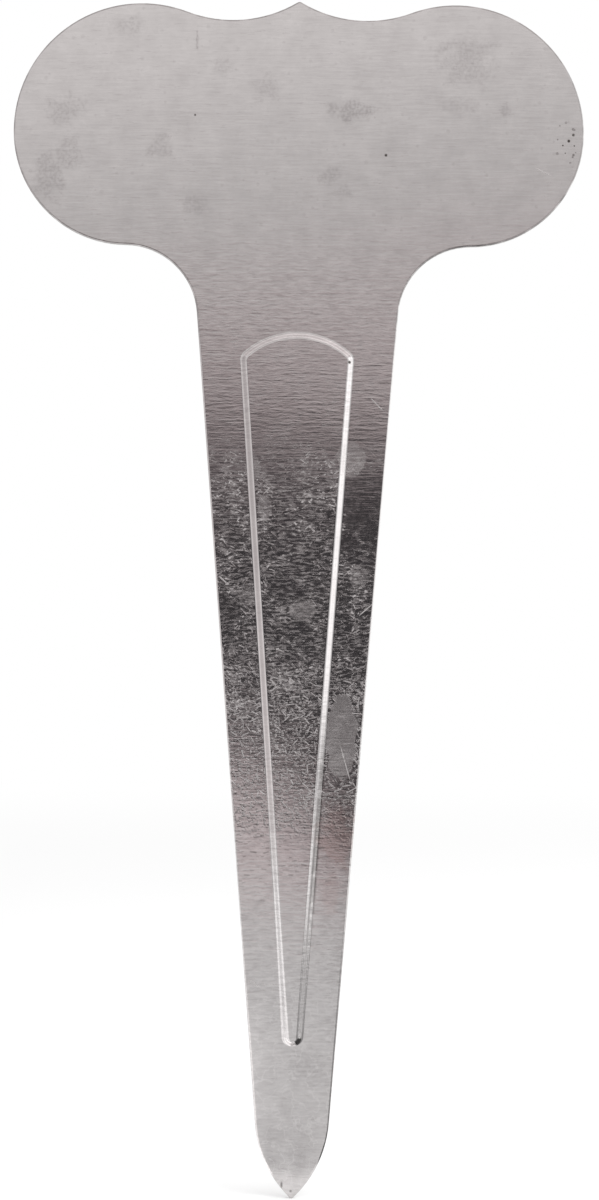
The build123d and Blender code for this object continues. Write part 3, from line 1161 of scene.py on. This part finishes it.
def place_on_card(tree):
    """The place on a card, in millimetres across and up from its middle."""
    spot = put(tree, "ShaderNodeTexCoord").outputs["Object"]
    spot = vector_calc(tree, "SCALE", spot, Scale=1 / MM)
    parts = put(tree, "ShaderNodeSeparateXYZ", {0: spot}).outputs
    return parts["X"], parts["Y"]


def graded(tree, level, grades):
    """The color at a level among some grades."""
    lowest = grades[0][0]
    highest = grades[-1][0]
    inputs = {"Value": level, "From Min": lowest, "From Max": highest}
    share = put(tree, "ShaderNodeMapRange", inputs).outputs["Result"]
    grade = put(tree, "ShaderNodeValToRGB", {"Fac": share})
    stops = grade.color_ramp.elements
    while len(stops) < len(grades):
        stops.new(0.5)
    for stop, (reach, color) in zip(stops, grades):
        stop.position = (reach - lowest) / (highest - lowest)
        stop.color = (*color, 1.0)
    return grade.outputs["Color"]


def graded_card():
    """A card round the camera with a dark band, which the flat metal shows."""
    place = (0, -CAMERA_DISTANCE - CARD_BEHIND_CAMERA, CARD_HEIGHT / 2)
    tree, glow, _ = reflected_card("graded_card", (CARD_WIDTH, CARD_HEIGHT), place, (pi / 2, 0, 0))
    across, up = place_on_card(tree)
    above_floor = calc(tree, "ADD", up, CARD_HEIGHT / 2 / MM)
    changes = [ramp(tree, above_floor, start, end, 0.0, change) for start, end, change in CARD_TILT_STEPS]
    tilt = calc(tree, "ADD", joined(tree, "ADD", changes), CARD_TILT)
    level = calc(tree, "MULTIPLY_ADD", across, tilt, above_floor)
    band_tilt = calc(tree, "MULTIPLY_ADD", across, BAND_END_BEND, BAND_END_TILT)
    in_band = ramp(tree, calc(tree, "MULTIPLY_ADD", across, band_tilt, above_floor), *BAND_END)
    lower = graded(tree, level, LOWER_GRADES)
    upper = graded(tree, level, UPPER_GRADES)
    grade = blend_color(tree, in_band, lower, upper)
    clear = ramp(tree, calc(tree, "ABSOLUTE", across), *CARD_CLEAR)
    tree.links.new(blend_color(tree, clear, grade, WHITE), glow.inputs["Color"])


def wall_card(name, side, color, levels, rise, fade, front_share):
    """A card beside the stake, which the panel's wall on that side shows.

    It goes from one level to the other between the two heights of rise, and to the share of that in front
    between the two places of fade, all in millimetres.
    """
    height = WALL_CARD_SIZE[1]
    place = (side * WALL_CARD_AWAY, 0, height / 2)
    tree, glow, _ = reflected_card(name, WALL_CARD_SIZE, place, (pi / 2, 0, pi / 2))
    glow.inputs["Color"].default_value = color
    to_back, up = place_on_card(tree)
    above_floor = calc(tree, "ADD", up, height / 2 / MM)
    level = ramp(tree, above_floor, *rise, *levels)
    front = ramp(tree, to_back, *fade, 1.0, front_share)
    tree.links.new(product(tree, level, front), glow.inputs["Strength"])


def level_card(name, size, place, levels, reach=(0, 1), sides=(0, 1, 1, 1), color=WHITE):
    """A level card with soft edges.

    It goes from one level to the other between the two places of reach, from front to back. The sides are
    two places from left to right and its shares of that level there. Places are in millimetres.
    """
    width, depth = size
    tree, glow, surface = reflected_card(name, size, place, (0, 0, 0))
    glow.inputs["Color"].default_value = color
    across, along = place_on_card(tree)
    to_right = calc(tree, "ADD", across, place[0] / MM)
    to_back = calc(tree, "ADD", along, place[1] / MM)
    level = ramp(tree, to_back, *reach, *levels)
    tree.links.new(product(tree, level, ramp(tree, to_right, *sides)), glow.inputs["Strength"])

    soft_edge = min(SOFT_EDGE_SHARE * min(size), SOFT_EDGE_MOST)
    in_width = ramp(tree, calc(tree, "ABSOLUTE", across), width / 2 / MM, (width / 2 - soft_edge) / MM)
    in_depth = ramp(tree, calc(tree, "ABSOLUTE", along), depth / 2 / MM, (depth / 2 - soft_edge) / MM)
    nothing = put(tree, "ShaderNodeBsdfTransparent").outputs[0]
    soft_inputs = {0: product(tree, in_width, in_depth), 1: nothing, 2: glow.outputs[0]}
    soft = put(tree, "ShaderNodeMixShader", soft_inputs).outputs[0]
    tree.links.new(soft, surface)


studio_floor()
studio_world()
graded_card()
wall_card(
    "right_wall_card",
    side=1,
    color=WHITE,
    levels=(0.8, 1.75),
    rise=(8, 38),
    fade=(-40, -300),
    front_share=0.3,
)
wall_card(
    "left_wall_card",
    side=-1,
    color=PINKISH,
    levels=(0.86, 0.7),
    rise=(20, 80),
    fade=(-15, -130),
    front_share=1.35,
)
level_card(
    "top_card",
    size=(1.2, 0.8),
    place=(0, -0.2, 0.55),
    levels=(0.72, 1.1),
    reach=(-300, -50),
    sides=(-350, 350, 0.92, 1.25),
    color=PINKISH,
)
soft_light("key_light", size=(1.0, 0.9), place=(0.66, -0.16, 0.46), aim=(0, 0, 0.075), radiance=2.0)
soft_light("top_light", size=(0.5, 0.4), place=(0.06, -0.36, 0.78), aim=(0, 0, 0.1), radiance=1.7)

# Cards just above the floor, which the bends and the rolled edge of the lower blade show
level_card(
    "front_floor_card",
    size=(0.28, 0.36),
    place=(-0.115, -0.188, 0.5 * MM),
    levels=(0.79, 0.84),
    reach=(-250, -60),
)
level_card("left_floor_card", size=(0.254, 0.14), place=(-0.13, -0.078, 1 * MM), levels=(1.4, 1.4))
level_card("right_floor_card", size=(0.165, 0.14), place=(0.09, -0.078, 1 * MM), levels=(0.58, 0.58))
level_card("right_rim_card", size=(0.066, 0.316), place=(0.042, -0.15, 1.5 * MM), levels=(0.36, 0.36))
level_card("right_far_card", size=(0.25, 0.04), place=(0.2, 0.002, 1 * MM), levels=(0.72, 0.72))
level_card(
    "left_nose_card",
    size=(0.12, 0.014),
    place=(-0.0625, -0.003, 2 * MM),
    levels=(1.8, 1.8),
    sides=(-120, -40, 0.5, 1),
)
level_card("right_nose_card", size=(0.046, 0.024), place=(0.028, -0.004, 2 * MM), levels=(0.08, 0.08))

camera_data = bpy.data.cameras.new("camera")
camera_data.sensor_width = SENSOR_SIZE
camera_data.lens = SENSOR_SIZE * CAMERA_DISTANCE / PICTURE_HEIGHT
camera = bpy.data.objects.new("camera", camera_data)
camera.location = PICTURE_CENTER - Vector((0, CAMERA_DISTANCE, 0))
camera.rotation_euler = (pi / 2, PICTURE_ROLL, 0)
bpy.context.scene.collection.objects.link(camera)
bpy.context.scene.camera = camera
bpy.context.scene.view_settings.view_transform = "Standard"
